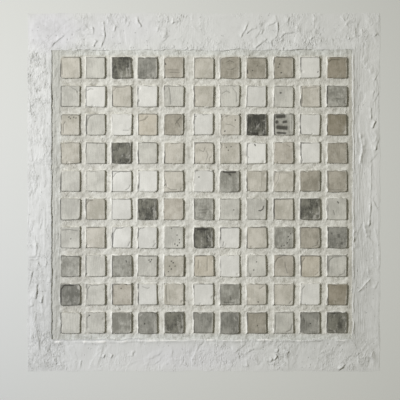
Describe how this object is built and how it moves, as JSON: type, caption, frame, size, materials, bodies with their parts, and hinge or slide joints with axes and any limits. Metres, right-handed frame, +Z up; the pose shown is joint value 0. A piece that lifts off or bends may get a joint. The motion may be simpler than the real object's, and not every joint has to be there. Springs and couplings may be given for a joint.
{
  "type": "textured wall panel",
  "caption": "Square wall panel of trowelled white plaster with a sunk field of square stone tiles in soft natural tones, standing proud in rows.",
  "frame": {"origin": "centre of the flat back, where the panel meets the wall", "axes": "+Y out of the back into the wall, tiles face -Y; +Z up; +X to the right as seen from the front"},
  "size_m": [0.7985, 0.008, 0.8115],
  "materials": {
    "plaster": "matte, hand-trowelled white plaster",
    "stone_tiles": "matte, tumbled and brushed stone in chalk, bone, sand, taupe and slate"
  },
  "bodies": {
    "root": {"plaster_panel": "plaster", "tile_row_01": "stone_tiles", "tile_row_02": "stone_tiles", "tile_row_03": "stone_tiles", "tile_row_04": "stone_tiles", "tile_row_05": "stone_tiles", "tile_row_06": "stone_tiles", "tile_row_07": "stone_tiles", "tile_row_08": "stone_tiles", "tile_row_09": "stone_tiles", "tile_row_10": "stone_tiles"}
  },
  "joints": []
}
